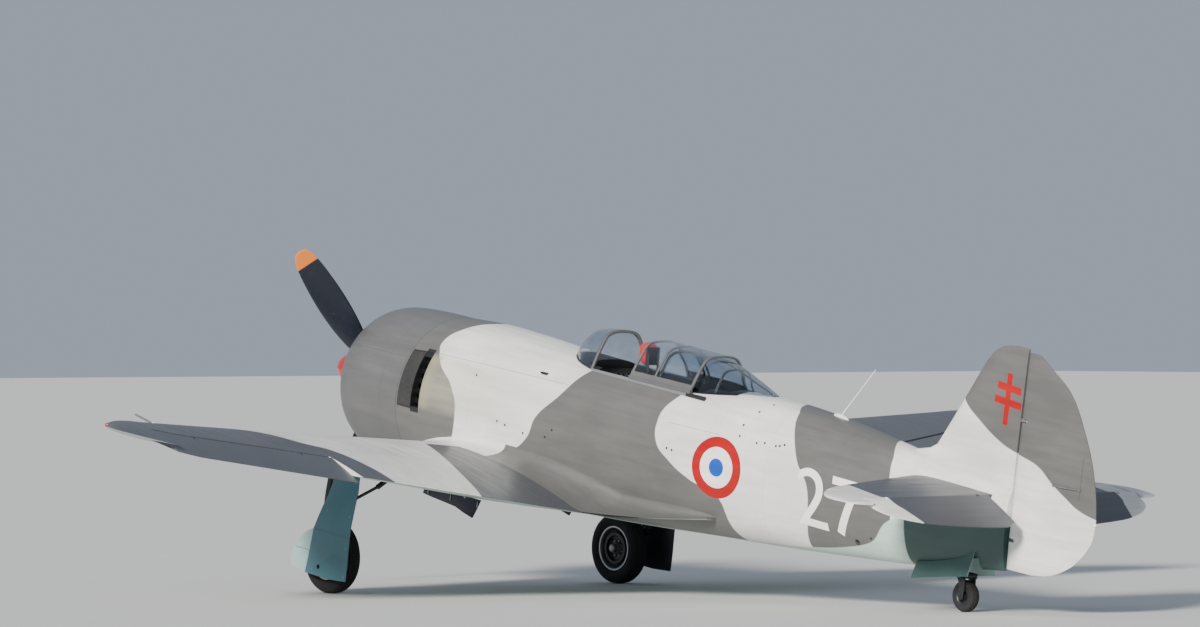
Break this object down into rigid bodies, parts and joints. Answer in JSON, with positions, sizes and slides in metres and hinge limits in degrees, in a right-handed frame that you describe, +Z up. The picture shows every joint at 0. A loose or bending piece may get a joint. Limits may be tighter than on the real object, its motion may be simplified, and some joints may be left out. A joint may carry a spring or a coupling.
{
  "type": "light aircraft",
  "caption": "Low-wing single-seat propeller aircraft with a radial engine cowl, sliding hood, fixed-down main legs and a steerable tail wheel.",
  "frame": {"origin": "centre of the bounding box on the ground", "axes": "+X towards the nose, +Y towards the left wing tip, +Z up from the ground; the aircraft stands on its three wheels"},
  "size_m": [8.3512, 9.2, 2.5904],
  "materials": {
    "paint_light": "satin light grey",
    "paint_dark": "satin mid grey",
    "paint_teal": "satin pale blue-green",
    "paint_navy": "dark blue-black primer",
    "paint_red": "gloss red",
    "blade": "satin black",
    "bare_metal": "satin",
    "steel": "satin",
    "engine_metal": "dull",
    "tyre": "worn",
    "glass": "clear",
    "black_plastic": "matt",
    "cushion": "matt red",
    "seat_metal": "matt grey",
    "white_plastic": "gloss white"
  },
  "bodies": {
    "airframe": {"cowl": "paint_dark", "engine": "engine_metal", "fuselage_forward": "paint_light", "fuselage_centre": "paint_light", "fuselage_rear": "paint_light", "tail_cone": "paint_light", "wing_left": "paint_dark", "wing_right": "paint_dark", "fin": "paint_light", "stabiliser_left": "paint_dark", "stabiliser_right": "paint_dark", "windscreen_glass": "glass", "windscreen_frame": "paint_dark", "rear_frame": "paint_dark", "rear_glass": "glass", "cockpit_floor": "seat_metal", "instrument_panel": "black_plastic", "seat": "seat_metal", "headrest": "cushion", "control_stick": "black_plastic", "leg_left": "steel", "leg_right": "steel", "leg_door_left": "paint_teal", "leg_door_right": "paint_teal", "tail_leg": "steel", "tail_door_left": "paint_teal", "tail_door_right": "paint_teal", "pitot": "bare_metal", "antenna": "white_plastic"},
    "propeller": {"propeller": "blade", "spinner": "paint_red"},
    "wheel_left": {"tyre_left": "tyre", "rim_left": "bare_metal"},
    "wheel_right": {"tyre_right": "tyre", "rim_right": "bare_metal"},
    "tail_fork": {"tail_fork": "steel"},
    "tail_wheel": {"tail_wheel": "tyre"},
    "rudder": {"rudder": "paint_light"},
    "elevator_left": {"elevator_left": "paint_dark"},
    "elevator_right": {"elevator_right": "paint_dark"},
    "aileron_left": {"aileron_left": "paint_dark"},
    "aileron_right": {"aileron_right": "paint_dark"},
    "flap_left": {"flap_left": "paint_light"},
    "flap_right": {"flap_right": "paint_light"},
    "hood": {"hood_frame": "paint_dark", "hood_glass_front": "glass", "hood_glass_rear": "glass"},
    "inner_door_left": {"inner_door_left": "paint_navy"},
    "inner_door_right": {"inner_door_right": "paint_navy"}
  },
  "joints": [
    {"name": "propeller_spin", "type": "hinge", "parent": "airframe", "child": "propeller", "pos_m": [3.73052, 0, 1.621], "axis": [0.9877, 0, 0.1564], "continuous": true},
    {"name": "wheel_left_spin", "type": "hinge", "parent": "airframe", "child": "wheel_left", "pos_m": [2.4953, 1.42, 0.275], "axis": [0, 1, 0], "continuous": true},
    {"name": "wheel_right_spin", "type": "hinge", "parent": "airframe", "child": "wheel_right", "pos_m": [2.4953, -1.42, 0.275], "axis": [0, 1, 0], "continuous": true},
    {"name": "tail_steer", "type": "hinge", "parent": "airframe", "child": "tail_fork", "pos_m": [-2.84094, 0, 0.2958], "axis": [-0.1564, 0, 0.9877], "range_deg": [-20, 20]},
    {"name": "tail_wheel_spin", "type": "hinge", "parent": "tail_fork", "child": "tail_wheel", "pos_m": [-2.8827, 0, 0.112], "axis": [0, 1, 0], "continuous": true},
    {"name": "rudder_hinge", "type": "hinge", "parent": "airframe", "child": "rudder", "pos_m": [-3.41295, 0, 0.79333], "axis": [-0.1564, 0, 0.9877], "range_deg": [-25, 25]},
    {"name": "elevator_left_hinge", "type": "hinge", "parent": "airframe", "child": "elevator_left", "pos_m": [-3.25336, 0.7, 0.80848], "axis": [0, 1, 0], "range_deg": [-3, 45]},
    {"name": "elevator_right_hinge", "type": "hinge", "parent": "airframe", "child": "elevator_right", "pos_m": [-3.25336, -0.7, 0.80848], "axis": [0, 1, 0], "range_deg": [-3, 45]},
    {"name": "aileron_left_hinge", "type": "hinge", "parent": "airframe", "child": "aileron_left", "pos_m": [0.94141, 3.344, 1.10022], "axis": [0.1001, 0.9841, 0.1468], "range_deg": [-12, 24]},
    {"name": "aileron_right_hinge", "type": "hinge", "parent": "airframe", "child": "aileron_right", "pos_m": [0.94141, -3.344, 1.10022], "axis": [-0.1001, 0.9841, -0.1468], "range_deg": [-24, 12]},
    {"name": "flap_left_hinge", "type": "hinge", "parent": "airframe", "child": "flap_left", "pos_m": [0.86516, 1.68, 0.81088], "axis": [0.0614, 0.9867, 0.1507], "range_deg": [-45, 0]},
    {"name": "flap_right_hinge", "type": "hinge", "parent": "airframe", "child": "flap_right", "pos_m": [0.86516, -1.68, 0.81088], "axis": [-0.0614, 0.9867, -0.1507], "range_deg": [-45, 0]},
    {"name": "hood_slide", "type": "slide", "parent": "airframe", "child": "hood", "axis": [0.9877, 0, 0.1564], "range_m": [-0.2, 0.43]},
    {"name": "inner_door_left_hinge", "type": "hinge", "parent": "airframe", "child": "inner_door_left", "pos_m": [2.24383, 0.479, 0.74768], "axis": [0.9877, 0, 0.1564], "range_deg": [0, 84]},
    {"name": "inner_door_right_hinge", "type": "hinge", "parent": "airframe", "child": "inner_door_right", "pos_m": [2.24383, -0.479, 0.74768], "axis": [0.9877, 0, 0.1564], "range_deg": [-84, 0]}
  ],
  "couplings": [
    {"joint": "elevator_right_hinge", "follows": "elevator_left_hinge", "ratio": 1},
    {"joint": "aileron_right_hinge", "follows": "aileron_left_hinge", "ratio": -1},
    {"joint": "flap_right_hinge", "follows": "flap_left_hinge", "ratio": 1}
  ]
}
